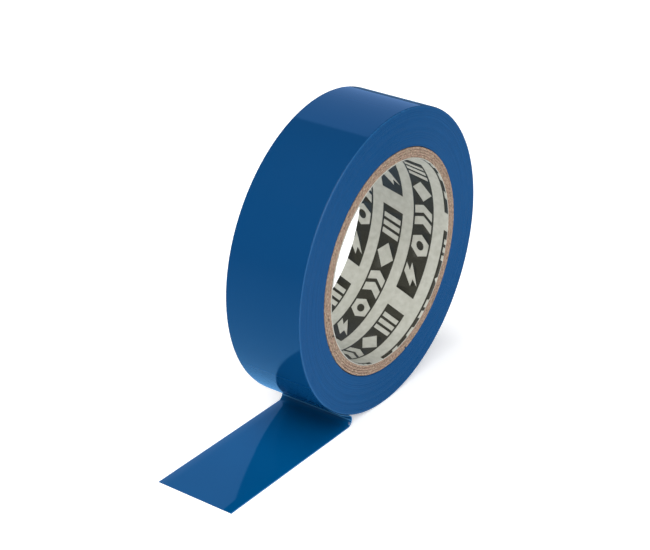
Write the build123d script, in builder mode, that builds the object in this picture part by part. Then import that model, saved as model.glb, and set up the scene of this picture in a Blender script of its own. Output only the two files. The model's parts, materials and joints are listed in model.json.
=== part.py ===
from build123d import *
from math import atan2, cos, degrees, radians, sin, sqrt, tan
import os

# A roll of narrow PVC electrical tape wound on a spiral kraft-paper core, which is
# flush with the tape at the front and stands out behind it at the back.  The roll
# stands on its tread.  The free end comes down the -X side, peels off just before
# the bottom, doubles back under itself and lies flat, sticky side down.
# Frame: the origin is on the axis of the core's bore, half way between the tape's
# two side faces, +Y is the roll's axis and +Z is up.  All sizes are in millimetres.

os.makedirs("parts", exist_ok=True)

# Driving dimensions
TAPE_WIDTH = 15.5
CORE_LENGTH = 19.75
ROLL_RADIUS = 28.5
BORE_RADIUS = 19.0
CORE_RADIUS = 21.1
TAIL_END_X = -46.4
TAIL_START_X = -13.2

# Tape: a PVC film with rubber adhesive on the side that faces the core
FILM = 0.10
ADHESIVE = 0.03
TAPE = FILM + ADHESIVE

# Core: a printed paper liner inside four kraft plies, with a glue line under each
LINER = 0.18
GLUE_LINE = 0.02
PLY_NAMES = ("core_inner_ply", "core_second_ply", "core_third_ply", "core_outer_ply")
PLY = (CORE_RADIUS - BORE_RADIUS - LINER) / len(PLY_NAMES) - GLUE_LINE

# Each ply's edges meet along a helix and leave a narrow butt seam
SEAM_WIDTH = 0.3
SEAM_SLANT = 30.0
SEAM_ANGLES = (215.0, 128.0, 65.0, 300.0)

# Winding: the pack of inner turns, then the last full turn round it
CORE_TO_TAPE = 0.06
TURN_GAP = 0.02

# Fold: where the tape peels off the roll, and how near it runs to the turning roll
PEEL_ANGLE = 24.0
LEAD_IN_ANGLE = 2.0
RUNNING_GAP = 0.08

# Tail: short strips hinged to each other along their top edges
TAIL_STRIPS = 5
HINGE_GAP = 0.05

FLOOR_Z = -ROLL_RADIUS
TAIL_TOP_Z = FLOOR_Z + TAPE


def ring(inner_radius, outer_radius, width):
    """A plain ring round the roll's axis, from the roll's front face back by its width."""
    with BuildPart() as body:
        with BuildSketch(Plane.XZ.offset(TAPE_WIDTH / 2)):
            Circle(outer_radius)
            Circle(inner_radius, mode=Mode.SUBTRACT)
        extrude(amount=-width)
    return body


def slit_ring(inner_radius, outer_radius, seam_angle):
    """A wound paper ply: a ring with one slanted slit where its two edges meet."""
    facing = Vector(cos(radians(seam_angle)), 0, sin(radians(seam_angle)))
    seam_plane = Plane(origin=(0, 0, 0), x_dir=(0, 1, 0), z_dir=facing)
    with BuildPart() as body:
        with BuildSketch(Plane.XZ.offset(TAPE_WIDTH / 2)):
            Circle(outer_radius)
            Circle(inner_radius, mode=Mode.SUBTRACT)
        extrude(amount=-CORE_LENGTH)
        with BuildSketch(seam_plane):
            Rectangle(TAPE_WIDTH * 2, SEAM_WIDTH, rotation=SEAM_SLANT)
        extrude(amount=outer_radius + 1, mode=Mode.SUBTRACT)
    return body


def peel_point(radius, angle):
    """The point on a circle round the roll's axis, by the angle back from the bottom."""
    return (-radius * sin(radians(angle)), -radius * cos(radians(angle)))


def fold_layer(inner_offset, outer_offset):
    """One layer of the tape round the fold, between two offsets from its sticky face.

    The sticky face runs a little outside the roll, turns through the fold on the
    outside of the bend and ends flat on the floor.
    """
    sticky_radius = ROLL_RADIUS + RUNNING_GAP
    drop = sticky_radius * cos(radians(PEEL_ANGLE))
    bend_radius = (-FLOOR_Z - drop) / (1 + cos(radians(PEEL_ANGLE)))
    centre = peel_point(sticky_radius + bend_radius, PEEL_ANGLE)
    edges = []
    for offset in (inner_offset, outer_offset):
        start = peel_point(sticky_radius + offset, PEEL_ANGLE + LEAD_IN_ANGLE)
        middle = peel_point(sticky_radius + offset, PEEL_ANGLE + LEAD_IN_ANGLE / 2)
        leave = peel_point(sticky_radius + offset, PEEL_ANGLE)
        side = (centre[0] + (bend_radius - offset), centre[1])
        landing = (centre[0], FLOOR_Z + offset)
        end = (TAIL_START_X + HINGE_GAP / 2, FLOOR_Z + offset)
        edges.append((start, middle, leave, side, landing, end))
    near, far = edges
    with BuildPart() as body:
        with BuildSketch(Plane.XZ):
            with BuildLine():
                ThreePointArc(near[0], near[1], near[2])
                ThreePointArc(near[2], near[3], near[4])
                Line(near[4], near[5])
                Line(near[5], far[5])
                Line(far[5], far[4])
                ThreePointArc(far[4], far[3], far[2])
                ThreePointArc(far[2], far[1], far[0])
                Line(far[0], near[0])
            make_face()
        extrude(amount=TAPE_WIDTH / 2, both=True)
    return body


def strip(x_low, x_high, z_low, z_high):
    """A flat piece of one layer of the tape, lying on the floor."""
    with BuildPart() as body:
        with BuildSketch(Plane.XZ):
            with Locations(((x_low + x_high) / 2, (z_low + z_high) / 2)):
                Rectangle(x_high - x_low, z_high - z_low)
        extrude(amount=TAPE_WIDTH / 2, both=True)
    return body


def save(body, name):
    """Label a finished piece and write it as its own STEP file."""
    body.part.label = name
    export_step(body.part, f"parts/{name}.step")


# Core, from the bore outwards
save(ring(BORE_RADIUS, BORE_RADIUS + LINER, CORE_LENGTH), "core_liner")
for index, name in enumerate(PLY_NAMES):
    ply_inner = BORE_RADIUS + LINER + GLUE_LINE + index * (PLY + GLUE_LINE)
    save(slit_ring(ply_inner, ply_inner + PLY, SEAM_ANGLES[index]), name)

# Winding
save(ring(CORE_RADIUS + CORE_TO_TAPE, ROLL_RADIUS - TAPE - TURN_GAP, TAPE_WIDTH), "wound_tape")
save(ring(ROLL_RADIUS - TAPE, ROLL_RADIUS, TAPE_WIDTH), "outer_turn")

# Fold
save(fold_layer(0, ADHESIVE), "fold_adhesive")
save(fold_layer(ADHESIVE, TAPE), "fold_film")

# Tail
strip_length = (TAIL_START_X - TAIL_END_X) / TAIL_STRIPS
for index in range(TAIL_STRIPS):
    x_high = TAIL_START_X - index * strip_length - HINGE_GAP / 2
    x_low = TAIL_START_X - (index + 1) * strip_length + HINGE_GAP / 2
    if index == TAIL_STRIPS - 1:
        x_low = TAIL_END_X
    save(strip(x_low, x_high, FLOOR_Z, FLOOR_Z + ADHESIVE), f"tail_adhesive_{index + 1}")
    save(strip(x_low, x_high, FLOOR_Z + ADHESIVE, TAIL_TOP_Z), f"tail_film_{index + 1}")
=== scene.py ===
import json
import random
from math import atan2, cos, pi, radians, sin, tan

import bmesh
import bpy
from mathutils import Matrix, Vector
from mathutils.geometry import tessellate_polygon


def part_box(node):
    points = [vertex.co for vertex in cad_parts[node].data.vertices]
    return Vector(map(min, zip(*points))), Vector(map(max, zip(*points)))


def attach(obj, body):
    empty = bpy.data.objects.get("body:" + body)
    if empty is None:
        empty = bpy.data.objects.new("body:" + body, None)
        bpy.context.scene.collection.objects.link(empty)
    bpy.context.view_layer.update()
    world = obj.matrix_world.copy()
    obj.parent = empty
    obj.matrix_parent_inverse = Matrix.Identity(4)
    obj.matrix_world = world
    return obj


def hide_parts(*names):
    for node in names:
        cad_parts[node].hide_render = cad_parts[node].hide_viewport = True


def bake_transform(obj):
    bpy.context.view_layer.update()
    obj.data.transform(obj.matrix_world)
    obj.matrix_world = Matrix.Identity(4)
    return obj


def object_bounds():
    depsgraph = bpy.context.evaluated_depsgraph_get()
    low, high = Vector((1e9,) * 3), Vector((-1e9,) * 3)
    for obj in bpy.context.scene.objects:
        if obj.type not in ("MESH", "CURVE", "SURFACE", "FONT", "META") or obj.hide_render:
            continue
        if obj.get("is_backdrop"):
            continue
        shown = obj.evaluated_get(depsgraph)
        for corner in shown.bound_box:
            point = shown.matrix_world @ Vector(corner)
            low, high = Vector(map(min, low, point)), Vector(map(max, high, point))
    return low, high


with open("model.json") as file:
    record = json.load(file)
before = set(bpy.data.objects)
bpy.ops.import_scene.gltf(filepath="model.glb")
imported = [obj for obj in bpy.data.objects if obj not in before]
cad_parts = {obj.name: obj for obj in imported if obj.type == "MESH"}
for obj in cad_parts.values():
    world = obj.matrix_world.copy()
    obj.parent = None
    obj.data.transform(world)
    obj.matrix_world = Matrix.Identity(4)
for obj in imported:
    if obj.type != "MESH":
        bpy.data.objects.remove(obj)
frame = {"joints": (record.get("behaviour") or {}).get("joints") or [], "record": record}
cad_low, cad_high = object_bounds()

MM = 0.001


# Studio.  The roll stands on a plain backlit white table, in a dim room.  A wide soft
# light hangs over the tail's side, a weaker one overhead, and a cool glow comes from
# behind the roll.  Gloss sees the room's cool lower half instead of the table itself.

LENS, SENSOR = 92.4, 36.0
AZIMUTH, ELEVATION, ROLL = radians(-56.2), radians(26.0), radians(2.2)
DISTANCE = 300.3 * MM
AIM_RIGHT, AIM_UP = -5.67 * MM, -4.34 * MM
NEAR_CLIP, FAR_CLIP = 10 * MM, 10.0


def linear(code):
    """The linear colour, with alpha, of an sRGB hex code such as "#1B5485"."""
    parts = [int(code[i:i + 2], 16) / 255 for i in (1, 3, 5)]
    bent = [p / 12.92 if p <= 0.04045 else ((p + 0.055) / 1.055) ** 2.4 for p in parts]
    return (*bent, 1.0)


def add(tree, kind, inputs=None, **settings):
    """Adds a shader node, with its settings and with a value or a link for each input."""
    made = tree.nodes.new("ShaderNode" + kind)
    for name, value in settings.items():
        setattr(made, name, value)
    for socket, value in (inputs or {}).items():
        if isinstance(value, bpy.types.NodeSocket):
            tree.links.new(value, made.inputs[socket])
        else:
            made.inputs[socket].default_value = value
    return made


def ramp(tree, value, *stops):
    """The colour of a colour ramp over a value, with a (position, linear colour) for each stop."""
    made = add(tree, "ValToRGB", {"Fac": value})
    elements = made.color_ramp.elements
    elements.remove(elements[1])
    elements[0].position = stops[0][0]
    elements[0].color = stops[0][1]
    for position, colour in stops[1:]:
        elements.new(position).color = colour
    return made.outputs["Color"]


scene = bpy.context.scene
scene.view_settings.view_transform = "Standard"

back = Vector((sin(AZIMUTH) * cos(ELEVATION), -cos(AZIMUTH) * cos(ELEVATION), sin(ELEVATION)))
level = Vector((cos(AZIMUTH), sin(AZIMUTH), 0))
upright = back.cross(level)
right = level * cos(ROLL) + upright * sin(ROLL)
up = upright * cos(ROLL) - level * sin(ROLL)
camera_data = bpy.data.cameras.new("camera")
camera_data.lens = LENS
camera_data.sensor_width = SENSOR
camera_data.clip_start = NEAR_CLIP
camera_data.clip_end = FAR_CLIP
camera = bpy.data.objects.new("camera", camera_data)
camera_place = Matrix.Translation(back * DISTANCE + right * AIM_RIGHT + up * AIM_UP)
camera.matrix_world = camera_place @ Matrix((right, up, back)).transposed().to_4x4()
scene.collection.objects.link(camera)
scene.camera = camera

# The room is bright and cool straight down, and dim from the horizon up, which is half
# way along the ramp.
BELOW, BELOW_BRIGHTNESS, ABOVE = "#74BEFF", 1.2, "#45484B"
world = bpy.data.worlds.new("dim_studio")
world.use_nodes = True
room = world.node_tree
direction = add(room, "TexCoord").outputs["Generated"]
height = add(room, "SeparateXYZ", {"Vector": direction}).outputs["Z"]
share = add(room, "MapRange", {"Value": height, "From Min": -1.0, "From Max": 1.0})
below = [part * BELOW_BRIGHTNESS for part in linear(BELOW)]
shade = ramp(room, share.outputs["Result"], (0.1, below), (0.5, linear(ABOVE)))
room.links.new(shade, room.nodes["Background"].inputs["Color"])
scene.world = world


def soft_light(name, direction, spread, strength, colour):
    """A wide soft light, far away in a direction, that is equally strong all over the table.

    Its spread is in degrees, and is how wide the light looks from the roll.
    """
    data = bpy.data.lights.new(name, "SUN")
    data.angle = radians(spread)
    data.energy = strength
    data.color = linear(colour)[:3]
    lamp = bpy.data.objects.new(name, data)
    lamp.location = direction
    lamp.rotation_mode = "QUATERNION"
    lamp.rotation_quaternion = Vector(direction).to_track_quat("Z", "Y")
    scene.collection.objects.link(lamp)
    return lamp


soft_light("key_light", (-0.5, -0.5, 0.7), 60, 2.4, "#FFFFFF")
top_light = soft_light("top_light", (-0.35, 0.3, 0.88), 50, 1.7, "#FFFFFF")
top_light.visible_glossy = False
back_glow = soft_light("back_glow", (0.75, 0.5, 0.44), 60, 0.6, "#80B5FF")
back_glow.visible_diffuse = False

TABLE_HALF, TABLE_GLOW = 3.0, 0.38
table_mesh = bpy.data.meshes.new("table_top")
square = ((-1, -1), (1, -1), (1, 1), (-1, 1))
table_corners = [(x * TABLE_HALF, y * TABLE_HALF, cad_low.z) for x, y in square]
table_mesh.from_pydata(table_corners, [], [(0, 1, 2, 3)])
table = bpy.data.objects.new("table_top", table_mesh)
scene.collection.objects.link(table)
table.visible_glossy = False

# Opal acrylic sheet, lit from below: an even, nearly matt white.
acrylic = bpy.data.materials.new("backlit_opal_acrylic")
acrylic.use_nodes = True
acrylic_shader = acrylic.node_tree.nodes["Principled BSDF"]
acrylic_shader.inputs["Base Color"].default_value = linear("#F9F9F9")
acrylic_shader.inputs["Roughness"].default_value = 0.9
acrylic_shader.inputs["Specular IOR Level"].default_value = 0.1
acrylic_shader.inputs["Emission Color"].default_value = linear("#FFFFFF")
acrylic_shader.inputs["Emission Strength"].default_value = TABLE_GLOW
table_mesh.materials.append(acrylic)
table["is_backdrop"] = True


# Core liner.  A strip of pale machine-glazed paper, the innermost layer of the core.
# It is glued to the first kraft ply and cut off flush with it.  The core is flush
# with the tape at the front and stands out about 4 mm behind it at the back.

core_bore = next(mount for mount in frame["record"]["mounts"] if mount["name"] == "core_bore")
BORE_RADIUS = core_bore["dims"]["r_mm"] * MM
LINER_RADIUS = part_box("core_liner")[1].x
CORE_FRONT, CORE_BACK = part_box("core_liner")[0].y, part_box("core_liner")[1].y
LINER_SET_BACK, LINER_EDGE_RADIUS = 0.03 * MM, 0.05 * MM
FORMATION_SIZE, PAPER_FIBRE_SIZE = 1.111 * MM, 0.1667 * MM
FINE_STEPS = 240


def rounded(corners, radius, points=3):
    """A closed outline of (x, y) corners with each corner rounded off."""
    outline = []
    for i, corner in enumerate(corners):
        here = Vector(corner)
        before = (Vector(corners[i - 1]) - here).normalized()
        after = (Vector(corners[(i + 1) % len(corners)]) - here).normalized()
        for k in range(points):
            t = k / (points - 1)
            outline.append(here + (before * (1 - t) ** 2 + after * t ** 2) * radius)
    return outline


def turned(name, outline, steps, start=0.0, sweep=2 * pi, closed=True):
    """A ring round the Y axis: the (radius, y) outline swept by a Screw modifier from an angle."""
    mesh = bpy.data.meshes.new(name)
    count = len(outline)
    points = [(r * cos(start), y, r * sin(start)) for r, y in outline]
    edges = [(i, (i + 1) % count) for i in range(count if closed else count - 1)]
    mesh.from_pydata(points, edges, [])
    ring = bpy.data.objects.new(name, mesh)
    scene.collection.objects.link(ring)
    screw = ring.modifiers.new("turn", "SCREW")
    screw.axis = "Y"
    screw.angle = sweep
    screw.steps = screw.render_steps = steps
    screw.use_merge_vertices = sweep == 2 * pi
    screw.merge_threshold = 0.001 * MM
    screw.use_smooth_shade = True
    screw.use_normal_calculate = True
    return ring


def finish_with(piece, material):
    """Gives a piece its material."""
    piece.data.materials.clear()
    piece.data.materials.append(material)


def paper_material():
    """Machine-glazed paper: pale grey-green, nearly matt, with a faint cloudy formation.

    The clouds are their real size.  A fibre is about 0.03 mm wide, too fine to show, so
    fibres are drawn several times wider.
    """
    made = bpy.data.materials.new("machine_glazed_paper")
    made.use_nodes = True
    tree = made.node_tree
    place = add(tree, "TexCoord").outputs["Object"]
    clouds = add(tree, "TexNoise", {"Vector": place, "Scale": 1 / FORMATION_SIZE, "Detail": 5.0})
    fibres = add(tree, "TexNoise", {"Vector": place, "Scale": 1 / PAPER_FIBRE_SIZE, "Detail": 3.0})
    tint = ramp(tree, clouds.outputs["Fac"], (0.3, linear("#B9B9AD")), (0.7, linear("#CACAC0")))
    bump = add(tree, "Bump", {"Height": fibres.outputs["Fac"], "Strength": 0.25, "Distance": 0.01 * MM})
    shader = tree.nodes["Principled BSDF"]
    tree.links.new(tint, shader.inputs["Base Color"])
    tree.links.new(bump.outputs["Normal"], shader.inputs["Normal"])
    shader.inputs["Roughness"].default_value = 0.62
    shader.inputs["IOR"].default_value = 1.45
    return made


liner_front = CORE_FRONT + LINER_SET_BACK
liner_back = CORE_BACK - LINER_SET_BACK
liner_corners = [(BORE_RADIUS, liner_back), (LINER_RADIUS, liner_back),
                 (LINER_RADIUS, liner_front), (BORE_RADIUS, liner_front)]
liner = turned("bore_liner", rounded(liner_corners, LINER_EDGE_RADIUS), FINE_STEPS)
liner.modifiers.new("even_shading", "WEIGHTED_NORMAL")
finish_with(liner, paper_material())
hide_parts("core_liner")
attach(liner, "roll")


# Liner print.  One dark ink, printed on the paper before it was wound: rows of
# slanted boxes in brick order, each with a line of plain workshop signs left bare.

INK_THICKNESS, INK_MOTTLE_SIZE = 0.012 * MM, 0.2 * MM
BOX_LENGTH, BOX_HEIGHT, BOX_SLANT = 30.4 * MM, 4.4 * MM, 0.29
BOXES_PER_TURN, BOXES_EACH_WAY = 3.5, 3
ROW_PITCH, FIRST_ROW_FROM_FRONT = 6.75 * MM, -1.4 * MM
LINER_SEAM_ANGLE, LINER_SEAM_GAP = radians(165), 0.05 * MM
# Where the middle of one box in each row lies, in degrees round the core.
ROW_ANGLES = (-49.5, 2.3, -43.6, 10.4)
SIGN_PITCH, SIGN_HALF = 5.75 * MM, 1.85 * MM
CURVE_STEP, SAME_PLACE = 0.8 * MM, 0.0001 * MM


def regular(sides, radius):
    """The corners of a regular polygon."""
    angles = [2 * pi * k / sides for k in range(sides)]
    return [(radius * cos(angle), radius * sin(angle)) for angle in angles]


def shifted(points, dx):
    """The same points, moved along."""
    return [(x + dx, y) for x, y in points]


# Each sign is drawn in a square from -1 to 1, and some reach a little past its sides:
# a bolt of lightning, a hexagon nut, two arrows, a diamond and three bars.
BOLT = [(-0.1, 1.0), (-1.1, -0.25), (-0.35, -0.25), (-0.75, -1.0), (1.1, 0.4), (0.3, 0.4), (0.85, 1.0)]
NUT = regular(6, 1.15)
NUT_HOLE = regular(14, 0.45)
CHEVRON = [(-0.8, 1.0), (0.1, 1.0), (0.65, 0.0), (0.1, -1.0), (-0.8, -1.0), (-0.25, 0.0)]
DIAMOND = [(0.0, 1.05), (1.3, 0.0), (0.0, -1.05), (-1.3, 0.0)]
BAR = [(-0.27, -1.0), (0.27, -1.0), (0.27, 1.0), (-0.27, 1.0)]
SIGNS = (
    [BOLT],
    [NUT],
    [shifted(CHEVRON, -0.55), shifted(CHEVRON, 0.75)],
    [DIAMOND],
    [shifted(BAR, -0.85), BAR, shifted(BAR, 0.85)],
)


def print_box(flat, along, across):
    """Adds one dark box, with its signs cut out, to the flat artwork at a point on the paper."""
    half, tall = BOX_LENGTH / 2, BOX_HEIGHT / 2
    outlines = [[(-half, -tall), (half, -tall), (half, tall), (-half, tall)]]
    islands = []
    for number, shapes in enumerate(SIGNS):
        middle = (number - (len(SIGNS) - 1) / 2) * SIGN_PITCH
        for shape in shapes:
            outlines.append([(middle + x * SIGN_HALF, y * SIGN_HALF) for x, y in shape])
            if shape is NUT:
                islands.append([(middle + x * SIGN_HALF, y * SIGN_HALF) for x, y in NUT_HOLE])
    for loops in [outlines] + [[island] for island in islands]:
        placed = [[Vector((along + x + y * BOX_SLANT, across + y, 0)) for x, y in loop]
                  for loop in loops]
        points = [flat.verts.new(p) for loop in placed for p in loop]
        for corners in tessellate_polygon(placed):
            flat.faces.new([points[i] for i in corners])


def cut(flat, point, direction, discard):
    """Cuts the flat artwork along a line, and drops what lies beyond it if discard is true."""
    everything = flat.verts[:] + flat.edges[:] + flat.faces[:]
    bmesh.ops.bisect_plane(flat, geom=everything, plane_co=point, plane_no=direction,
                           clear_outer=discard, dist=SAME_PLACE)


def face_inwards(bent):
    """Turns the faces of the bent artwork towards the core's axis."""
    for face in bent.faces:
        middle = face.calc_center_median()
        if face.normal.dot(Vector((middle.x, 0, middle.z))) > 0:
            face.normal_flip()


artwork = bmesh.new()
turn_length = 2 * pi * BORE_RADIUS
seam_along = LINER_SEAM_ANGLE * BORE_RADIUS
for row, angle in enumerate(ROW_ANGLES):
    for number in range(-BOXES_EACH_WAY, BOXES_EACH_WAY + 1):
        centre = (radians(angle) + number * 2 * pi / BOXES_PER_TURN) * BORE_RADIUS
        if seam_along - turn_length - BOX_LENGTH / 2 < centre < seam_along + BOX_LENGTH / 2:
            print_box(artwork, centre, CORE_FRONT + FIRST_ROW_FROM_FRONT + row * ROW_PITCH)
cut(artwork, (0, liner_back, 0), (0, 1, 0), True)
cut(artwork, (0, liner_front, 0), (0, -1, 0), True)
cut(artwork, (seam_along - LINER_SEAM_GAP, 0, 0), (1, 0, 0), True)
cut(artwork, (seam_along - turn_length, 0, 0), (-1, 0, 0), True)
for number in range(1, int(turn_length / CURVE_STEP)):
    cut(artwork, (seam_along - number * CURVE_STEP, 0, 0), (1, 0, 0), False)
ink_face = BORE_RADIUS - INK_THICKNESS
for point in artwork.verts:
    angle = point.co.x / BORE_RADIUS
    point.co = (ink_face * cos(angle), point.co.y, ink_face * sin(angle))
# A sliver has no clear side after the merge, so it keeps the one that the first pass gives it.
face_inwards(artwork)
bmesh.ops.remove_doubles(artwork, verts=artwork.verts, dist=SAME_PLACE)
artwork.normal_update()
face_inwards(artwork)
for face in artwork.faces:
    face.smooth = True
print_mesh = bpy.data.meshes.new("liner_print")
artwork.to_mesh(print_mesh)
artwork.free()
liner_print = bpy.data.objects.new("liner_print", print_mesh)
scene.collection.objects.link(liner_print)
film_of_ink = liner_print.modifiers.new("ink_film", "SOLIDIFY")
film_of_ink.thickness = INK_THICKNESS
film_of_ink.offset = -1.0


def ink_material():
    """Flexo printing ink: warm near-black and matt, thinner where the paper's fibres stand up.

    The thin spots are as fine as the fibres, so their mottle is drawn coarser to show.
    """
    made = bpy.data.materials.new("flexo_ink")
    made.use_nodes = True
    tree = made.node_tree
    place = add(tree, "TexCoord").outputs["Object"]
    mottle = add(tree, "TexNoise", {"Vector": place, "Scale": 1 / INK_MOTTLE_SIZE, "Detail": 4.0})
    tint = ramp(tree, mottle.outputs["Fac"], (0.35, linear("#302F26")), (0.75, linear("#3F3E34")))
    shader = tree.nodes["Principled BSDF"]
    tree.links.new(tint, shader.inputs["Base Color"])
    shader.inputs["Roughness"].default_value = 0.55
    shader.inputs["IOR"].default_value = 1.5
    return made


finish_with(liner_print, ink_material())
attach(liner_print, "roll")


# Core plies.  Four strips of brown kraft paper, wound in a spiral and glued, with a
# slanted butt seam where the edges of a strip meet.  The long tube is sawn into cores,
# which leaves the ends fibrous, with the plies showing as rings.

PLY_NODES = ("core_inner_ply", "core_second_ply", "core_third_ply", "core_outer_ply")
PLY_GLUE_LINE = 0.02 * MM
PLY_WALL = (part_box("core_outer_ply")[1].x - LINER_RADIUS) / len(PLY_NODES) - PLY_GLUE_LINE
PLY_SET_BACKS = (0.06 * MM, 0.04 * MM, 0.07 * MM, 0.05 * MM)
PLY_SEAM_ANGLES = (215.0, 128.0, 65.0, 300.0)
PLY_SEAM_WIDTH, PLY_SEAM_SLANT = 0.3 * MM, 30.0
PLY_TURN_STEPS, PLY_WIDTH_STEPS, PLY_EDGE = 480, 20, 0.025 * MM
FRAY_SIZE, FRAY_DEPTH = 0.35 * MM, 0.05 * MM
KRAFT_FIBRE_SIZE, KRAFT_PATCH_SIZE = 0.1923 * MM, 0.4545 * MM
MIDDLE_OF_WALL, FIBRE_STRETCH = 20 * MM, 0.35


def kraft_material():
    """Sawn kraft board: mid brown, matt and fibrous, darker where the fibres' bump is low and paler
    where it is high.

    The fibres run round the core, three times as long as wide.  A real one is about 0.04 mm
    wide, too fine to show, so fibres are drawn as bundles five times as wide.  The patches
    are their real size.
    """
    made = bpy.data.materials.new("sawn_kraft_board")
    made.use_nodes = True
    tree = made.node_tree
    place = add(tree, "TexCoord").outputs["Object"]
    parts = add(tree, "SeparateXYZ", {"Vector": place})
    angle = add(tree, "Math", {0: parts.outputs["Z"], 1: parts.outputs["X"]}, operation="ARCTAN2")
    flat = add(tree, "CombineXYZ", {"X": parts.outputs["X"], "Z": parts.outputs["Z"]})
    radius = add(tree, "VectorMath", {0: flat.outputs["Vector"]}, operation="LENGTH")
    arc = add(tree, "Math", {0: angle.outputs["Value"], 1: MIDDLE_OF_WALL * FIBRE_STRETCH},
              operation="MULTIPLY")
    rolled = add(tree, "CombineXYZ", {"X": arc.outputs["Value"], "Y": parts.outputs["Y"],
                                      "Z": radius.outputs["Value"]})
    fibres = add(tree, "TexNoise", {"Vector": rolled.outputs["Vector"], "Scale": 1 / KRAFT_FIBRE_SIZE,
                                    "Detail": 6.0, "Roughness": 0.65, "Distortion": 0.4})
    patches = add(tree, "TexNoise", {"Vector": place, "Scale": 1 / KRAFT_PATCH_SIZE, "Detail": 3.0})
    tint = ramp(tree, fibres.outputs["Fac"],
                (0.36, linear("#614E3E")), (0.5, linear("#97836F")), (0.64, linear("#CCB8A0")))
    share = add(tree, "MapRange", {"Value": patches.outputs["Fac"],
                                   "From Min": 0.42, "From Max": 0.62, "To Max": 0.6})
    blush = add(tree, "Mix", {"Factor": share.outputs["Result"], "A": tint,
                              "B": linear("#AD897A")}, data_type="RGBA")
    bump = add(tree, "Bump", {"Height": fibres.outputs["Fac"], "Strength": 0.6, "Distance": 0.05 * MM})
    shader = tree.nodes["Principled BSDF"]
    tree.links.new(blush.outputs["Result"], shader.inputs["Base Color"])
    tree.links.new(bump.outputs["Normal"], shader.inputs["Normal"])
    shader.inputs["Roughness"].default_value = 0.9
    shader.inputs["IOR"].default_value = 1.4
    return made


kraft = kraft_material()
fray = bpy.data.textures.new("fray", "CLOUDS")
fray.noise_scale = FRAY_SIZE
fray.noise_depth = 2
for number, node_name in enumerate(PLY_NODES):
    outer = LINER_RADIUS + (number + 1) * (PLY_WALL + PLY_GLUE_LINE)
    front = CORE_FRONT + PLY_SET_BACKS[number]
    rear = CORE_BACK - PLY_SET_BACKS[number]
    line = [(outer, rear + (front - rear) * k / PLY_WIDTH_STEPS) for k in range(PLY_WIDTH_STEPS + 1)]
    gap = PLY_SEAM_WIDTH / outer
    seam = radians(PLY_SEAM_ANGLES[number]) - gap / 2
    ply = turned(node_name + "_wound", line, PLY_TURN_STEPS, seam, 2 * pi - gap, closed=False)
    ply.vertex_groups.new(name="ends").add([0, PLY_WIDTH_STEPS], 1.0, "ADD")
    spiral = ply.modifiers.new("spiral_seam", "SIMPLE_DEFORM")
    spiral.deform_method = "TWIST"
    spiral.deform_axis = "Y"
    spiral.angle = (front - rear) * tan(radians(PLY_SEAM_SLANT)) / (outer - PLY_WALL)
    wall = ply.modifiers.new("wall", "SOLIDIFY")
    wall.thickness = PLY_WALL
    wall.offset = -1.0
    edge = ply.modifiers.new("soft_edges", "BEVEL")
    edge.width = PLY_EDGE
    edge.segments = 2
    edge.limit_method = "ANGLE"
    edge.angle_limit = radians(60)
    ragged = ply.modifiers.new("sawn_ends", "DISPLACE")
    ragged.texture = fray
    ragged.texture_coords = "LOCAL"
    ragged.strength = FRAY_DEPTH
    ragged.mid_level = 1.0
    ragged.direction = "NORMAL"
    ragged.vertex_group = "ends"
    ply.modifiers.new("even_shading", "WEIGHTED_NORMAL")
    finish_with(ply, kraft)
    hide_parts(node_name)
    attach(ply, "roll")


# Wound tape.  55 turns of soft PVC film, each held to the one below by its adhesive.
# The turns are slit to width as a log, so their edges make a satin side face, and
# each turn stands a few hundredths of a millimetre in or out of its neighbour.

TAPE = 0.13 * MM
HALF_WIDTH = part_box("outer_turn")[1].y
CORE_CLEARANCE = 0.12 * MM
PACK_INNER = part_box("core_outer_ply")[1].x + CORE_CLEARANCE
ROLL_RADIUS = cad_high.x
TURNS = int((ROLL_RADIUS - TAPE - PACK_INNER) / TAPE)
TURN_WANDER, WANDER_KEPT = 0.05 * MM, 0.8
EDGE_SET_BACK, FIRST_TURN_SINK = 0.03 * MM, 0.08 * MM
EDGE_GROOVE, GROOVE_BOTTOM, GROOVE_TOP = 0.02 * MM, 0.006 * MM, 0.035 * MM
RIM_SOFTNESS, RIM_TURNS = 0.16 * MM, 3
PACK_STEPS = 144
RIM_HIGHLIGHT_DEPTH, RIM_HIGHLIGHT_WIDTH = (0.35 * MM, 0.05 * MM), (0.16 * MM, 0.04 * MM)
DRIFT_SIZE, TURN_SHADE_SIZE, SKIN_SIZE = 16.67 * MM, 0.2381 * MM, 0.3846 * MM


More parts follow.
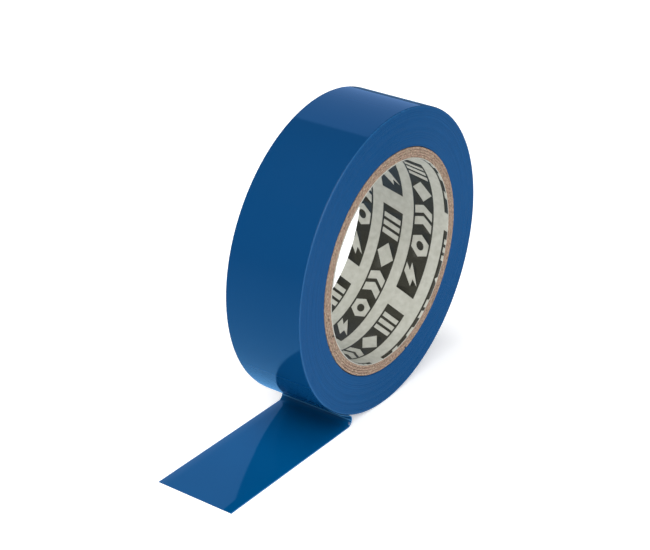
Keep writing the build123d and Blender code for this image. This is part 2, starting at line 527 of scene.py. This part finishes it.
def film_material(name, dark, light, roughness, grain, rings):
    """Calendered plasticised PVC: an even deep blue, with a wet-looking gloss on the film's face.

    Where the edges of many turns show, rings is above 0, and each turn catches the light
    a little differently.  One turn is 0.13 mm, too fine to show, so the shade changes over
    about two turns.  A painted highlight makes the rim's corner paler, and the long edges
    of the fold and tail paler too.
    """
    made = bpy.data.materials.new(name)
    made.use_nodes = True
    tree = made.node_tree
    place = add(tree, "TexCoord").outputs["Object"]
    parts = add(tree, "SeparateXYZ", {"Vector": place})
    flat = add(tree, "CombineXYZ", {"X": parts.outputs["X"], "Z": parts.outputs["Z"]})
    radius = add(tree, "VectorMath", {0: flat.outputs["Vector"]}, operation="LENGTH")
    drift = add(tree, "TexNoise", {"Vector": place, "Scale": 1 / DRIFT_SIZE, "Detail": 2.0})
    winding = add(tree, "TexNoise", {"W": radius.outputs["Value"], "Scale": 1 / TURN_SHADE_SIZE,
                                     "Detail": 3.0}, noise_dimensions="1D")
    mixed = add(tree, "Mix", {"Factor": rings, "A": drift.outputs["Fac"], "B": winding.outputs["Fac"]})
    tint = ramp(tree, mixed.outputs["Result"], (0.25, linear(dark)), (0.75, linear(light)))
    # Painted highlight: near the rim's corner, and along the edges of the tape off the roll, the blue is
    # mixed towards a paler blue.
    across = add(tree, "Math", {0: parts.outputs["Y"]}, operation="ABSOLUTE")
    outside = add(tree, "MapRange", {"Value": radius.outputs["Value"],
                                     "From Min": ROLL_RADIUS - RIM_HIGHLIGHT_DEPTH[0],
                                     "From Max": ROLL_RADIUS - RIM_HIGHLIGHT_DEPTH[1]})
    beside = add(tree, "MapRange", {"Value": across.outputs["Value"],
                                    "From Min": HALF_WIDTH - RIM_HIGHLIGHT_WIDTH[0],
                                    "From Max": HALF_WIDTH - RIM_HIGHLIGHT_WIDTH[1]})
    corner = add(tree, "Math", {0: outside.outputs["Result"], 1: beside.outputs["Result"]},
                 operation="MULTIPLY")
    rim_highlight = add(tree, "Mix", {"Factor": corner.outputs["Value"], "A": tint,
                             "B": linear("#4585BC")}, data_type="RGBA")
    skin = add(tree, "TexNoise", {"Vector": place, "Scale": 1 / SKIN_SIZE, "Detail": 3.0})
    bump = add(tree, "Bump", {"Height": skin.outputs["Fac"], "Strength": grain, "Distance": 0.004 * MM})
    shader = tree.nodes["Principled BSDF"]
    tree.links.new(rim_highlight.outputs["Result"], shader.inputs["Base Color"])
    tree.links.new(bump.outputs["Normal"], shader.inputs["Normal"])
    shader.inputs["Roughness"].default_value = roughness
    shader.inputs["IOR"].default_value = 1.52
    return made


tread_film = film_material("calendered_pvc_film", "#073E6C", "#083F6E", 0.07, 0.3, 0.0)
# The slit edges are matt, and their blue is also painted lighter than the tread film's, standing in for
# more light on the side face.
slit_edges = film_material("slit_pvc_edges", "#00487D", "#004F87", 0.42, 0.8, 0.8)
slit_edges.node_tree.nodes["Principled BSDF"].inputs["Specular IOR Level"].default_value = 0.3


def rim_drop(radius):
    """How far the edges near the tread draw in, which rounds the rim."""
    depth = max(0.0, 1 - (ROLL_RADIUS - radius) / (RIM_TURNS * TAPE))
    return RIM_SOFTNESS * depth ** 2


random.seed(11)
side = []
wander = 0.0
for number in range(TURNS):
    low = PACK_INNER + number * TAPE
    wander = WANDER_KEPT * wander + random.uniform(-1, 1) * TURN_WANDER / 3
    near = HALF_WIDTH - EDGE_SET_BACK - rim_drop(low + TAPE / 2) - abs(wander)
    near -= FIRST_TURN_SINK if number == 0 else 0.0
    side.append((low + GROOVE_BOTTOM, near - EDGE_GROOVE))
    side.append((low + GROOVE_TOP, near))
    side.append((low + TAPE - GROOVE_TOP, near))
    side.append((low + TAPE - GROOVE_BOTTOM, near - EDGE_GROOVE))
pack = turned("wound_turns", side + [(r, -y) for r, y in reversed(side)], PACK_STEPS)
finish_with(pack, slit_edges)
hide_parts("wound_tape")
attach(pack, "roll")


# Outer turn.  The last full turn of the same film, whose glossy backing is the
# tread of the roll.  Its slit edges are a little rounded by winding tension.

LAST_TURN_ROUNDING = 0.055 * MM
last_edge = HALF_WIDTH - EDGE_SET_BACK - rim_drop(ROLL_RADIUS - TAPE / 2)
last_corners = [(ROLL_RADIUS - TAPE, last_edge), (ROLL_RADIUS, last_edge),
                (ROLL_RADIUS, -last_edge), (ROLL_RADIUS - TAPE, -last_edge)]
outer_turn = turned("last_turn", rounded(last_corners, LAST_TURN_ROUNDING, 4), FINE_STEPS)
outer_turn.modifiers.new("even_shading", "WEIGHTED_NORMAL")
finish_with(outer_turn, tread_film)
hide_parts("outer_turn")
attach(outer_turn, "roll")


# Fold.  The tape peels off the roll just before the table, doubles back under
# itself in a tight bend and lands with its adhesive down.  Film and adhesive are
# one web here: the film is on the inside of the bend and the adhesive outside it.

FILM, ADHESIVE = 0.10 * MM, 0.03 * MM
PEEL_ANGLE, LEAD_IN_ANGLE = radians(24.0), radians(18.0)
RUNNING_GAP = 0.08 * MM
LIFT_OFF_TREAD, FIRST_SHARE, THICKENING = 0.002 * MM, 0.02, 1.2
LEAD_IN_STEPS, BEND_STEPS, STRIP_STEPS, WIDTH_STEPS = 24, 30, 16, 8
EDGE_ROUNDING, SHARP_ANGLE = 0.02 * MM, radians(50)
# Where on the bend the painted highlight lies, and how wide it is.
FOLD_HIGHLIGHT_ANGLE, FOLD_HIGHLIGHT_SPREAD = radians(-9.4), radians(4.0)
COATING_SIZE = 0.3333 * MM
HINGES = [Vector(j["pos_m"]) for j in frame["joints"] if j["name"].startswith("tail")]
TAIL_END = cad_low.x
TABLE_Z = cad_low.z
STRIP_LENGTH = HINGES[0].x - HINGES[1].x


def eased(t):
    """A smooth step from 0 to 1."""
    t = min(1.0, max(0.0, t))
    return t * t * (3 - 2 * t)


def fold_path():
    """Stations along the sticky face, from the roll to the table.

    Each is (x, z, direction towards the backing, share of the full thickness).  The share
    grows along the lead-in, so that the web leaves the roll without a step.
    """
    stations = []
    for k in range(LEAD_IN_STEPS + 1):
        t = k / LEAD_IN_STEPS
        angle = PEEL_ANGLE + LEAD_IN_ANGLE * (1 - t)
        outward = Vector((-sin(angle), -cos(angle)))
        radius = ROLL_RADIUS + RUNNING_GAP * eased(t) + LIFT_OFF_TREAD
        share = FIRST_SHARE + (1 - FIRST_SHARE) * eased(t * THICKENING)
        stations.append((outward.x * radius, outward.y * radius, outward, share))
    sticky = ROLL_RADIUS + RUNNING_GAP
    bend = (-TABLE_Z - sticky * cos(PEEL_ANGLE)) / (1 + cos(PEEL_ANGLE))
    centre = Vector((-sin(PEEL_ANGLE), -cos(PEEL_ANGLE))) * (sticky + bend)
    for k in range(1, BEND_STEPS + 1):
        angle = pi / 2 - PEEL_ANGLE - (pi - PEEL_ANGLE) * k / BEND_STEPS
        spoke = Vector((cos(angle), sin(angle)))
        stations.append((centre.x + spoke.x * bend, centre.y + spoke.y * bend, -spoke, 1.0))
    return stations


def flat_path(start_x, end_x, steps):
    """Stations along the table, from start_x to end_x."""
    upwards = Vector((0, 1))
    return [(start_x + (end_x - start_x) * k / steps, TABLE_Z, upwards, 1.0) for k in range(steps + 1)]


def in_fold_highlight(towards):
    """1 in a narrow band of the bend, on the side away from the tail, where a highlight is painted, and
    0 elsewhere.
    """
    return float(abs(atan2(-towards.y, -towards.x) - FOLD_HIGHLIGHT_ANGLE) < FOLD_HIGHLIGHT_SPREAD)


def web(name, stations, low, high):
    """One layer of the tape along stations, between two heights above its sticky face."""
    thick = high - low
    half = HALF_WIDTH
    turn = EDGE_ROUNDING / thick
    edge = [(-half + EDGE_ROUNDING, 0), (-half, turn), (-half, 1 - turn), (-half + EDGE_ROUNDING, 1)]
    across = [-half + 2 * half * k / WIDTH_STEPS for k in range(1, WIDTH_STEPS)]
    section = edge + [(y, 1) for y in across]
    section += [(-y, v) for y, v in reversed(edge)] + [(-y, 0) for y in across]
    mesh = bmesh.new()
    loops = []
    for x, z, towards, share in stations:
        heights = [(low + v * thick) * share for y, v in section]
        loops.append([mesh.verts.new((x + towards.x * h, y, z + towards.y * h))
                      for (y, v), h in zip(section, heights)])
    for first, second in zip(loops, loops[1:]):
        for k in range(len(section)):
            n = (k + 1) % len(section)
            mesh.faces.new((first[k], first[n], second[n], second[k])).smooth = True
    mesh.faces.new(reversed(loops[0]))
    mesh.faces.new(loops[-1])
    bmesh.ops.recalc_face_normals(mesh, faces=mesh.faces)
    data = bpy.data.meshes.new(name)
    mesh.to_mesh(data)
    mesh.free()
    data.set_sharp_from_angle(angle=SHARP_ANGLE)
    # Marks the narrow band of the bend where a highlight is painted.
    fold_highlight_values = data.attributes.new("fold_highlight_band", "FLOAT", "POINT")
    fold_highlight_values.data.foreach_set("value", [in_fold_highlight(station[2]) for station in stations for corner in section])
    piece = bpy.data.objects.new(name, data)
    scene.collection.objects.link(piece)
    return piece


def adhesive_material():
    """Rubber and resin adhesive: tinted by the film, satin, with a fine pebbled skin from the coater.

    The pebbles are drawn about twice their real size, which is too fine to show.
    """
    made = bpy.data.materials.new("rubber_resin_adhesive")
    made.use_nodes = True
    tree = made.node_tree
    place = add(tree, "TexCoord").outputs["Object"]
    skin = add(tree, "TexNoise", {"Vector": place, "Scale": 1 / COATING_SIZE, "Detail": 4.0})
    tint = ramp(tree, skin.outputs["Fac"], (0.3, linear("#0D3F63")), (0.7, linear("#1B4E73")))
    bump = add(tree, "Bump", {"Height": skin.outputs["Fac"], "Strength": 0.6, "Distance": 0.01 * MM})
    shader = tree.nodes["Principled BSDF"]
    tree.links.new(tint, shader.inputs["Base Color"])
    tree.links.new(bump.outputs["Normal"], shader.inputs["Normal"])
    shader.inputs["Roughness"].default_value = 0.38
    shader.inputs["IOR"].default_value = 1.5
    return made


adhesive = adhesive_material()

# The same film on the fold and tail is painted paler than on the roll, standing in for more light on the
# tail, and a painted highlight lightens a narrow band of the bend.
single_film = film_material("calendered_pvc_film_one_layer", "#00487B", "#004D81", 0.07, 0.3, 0.0)
single_tree = single_film.node_tree
single_shader = single_tree.nodes["Principled BSDF"]
# Painted highlight: the marked band of the bend is mixed towards a paler blue.
fold_highlight_mark = add(single_tree, "Attribute", attribute_name="fold_highlight_band")
plain_tint = single_shader.inputs["Base Color"].links[0].from_socket
fold_highlighted = add(single_tree, "Mix", {"Factor": fold_highlight_mark.outputs["Fac"], "A": plain_tint,
                                    "B": linear("#3E7FB0")}, data_type="RGBA")
single_tree.links.new(fold_highlighted.outputs["Result"], single_shader.inputs["Base Color"])

# The fold goes on from its landing along the table to the middle of the first strip.  The lead-in lies
# above the tail.
middles = [HINGES[0].x - STRIP_LENGTH * (k + 0.5) for k in range(len(HINGES))]
landing = fold_path()
landing_x = landing[-1][0]
fold_stations = landing + flat_path(landing_x, middles[0], STRIP_STEPS)[1:]
for name, node_name, low, high, material, slot_name in (
        ("fold_backing", "fold_film", ADHESIVE, ADHESIVE + FILM, single_film, "tape_film"),
        ("fold_sticky_side", "fold_adhesive", 0.0, ADHESIVE, adhesive, "tape_adhesive")):
    piece = web(name, fold_stations, low, high)
    finish_with(piece, material)
    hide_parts(node_name)
    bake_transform(piece)


# Tail.  The free end of the tape, lying flat.  Each stretch runs from the middle
# of one strip to the middle of the next, and the last one on to the tail's end.

for number in range(1, len(HINGES)):
    last = number == len(HINGES) - 1
    start_x, bend_end_x = middles[number - 1], middles[number]
    end_x = TAIL_END if last else bend_end_x
    stations = flat_path(start_x, end_x, STRIP_STEPS * (2 if last else 1))
    for layer, low, high, material, slot_name in (
            ("film", ADHESIVE, ADHESIVE + FILM, single_film, "tape_film"),
            ("adhesive", 0.0, ADHESIVE, adhesive, "tape_adhesive")):
        piece = web(f"tail_{layer}_stretch_{number}", stations, low, high)
        finish_with(piece, material)
        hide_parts(f"tail_{layer}_{number}")
        if last:
            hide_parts(f"tail_{layer}_{number + 1}")
        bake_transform(piece)


# The visual model's box.

low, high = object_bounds()
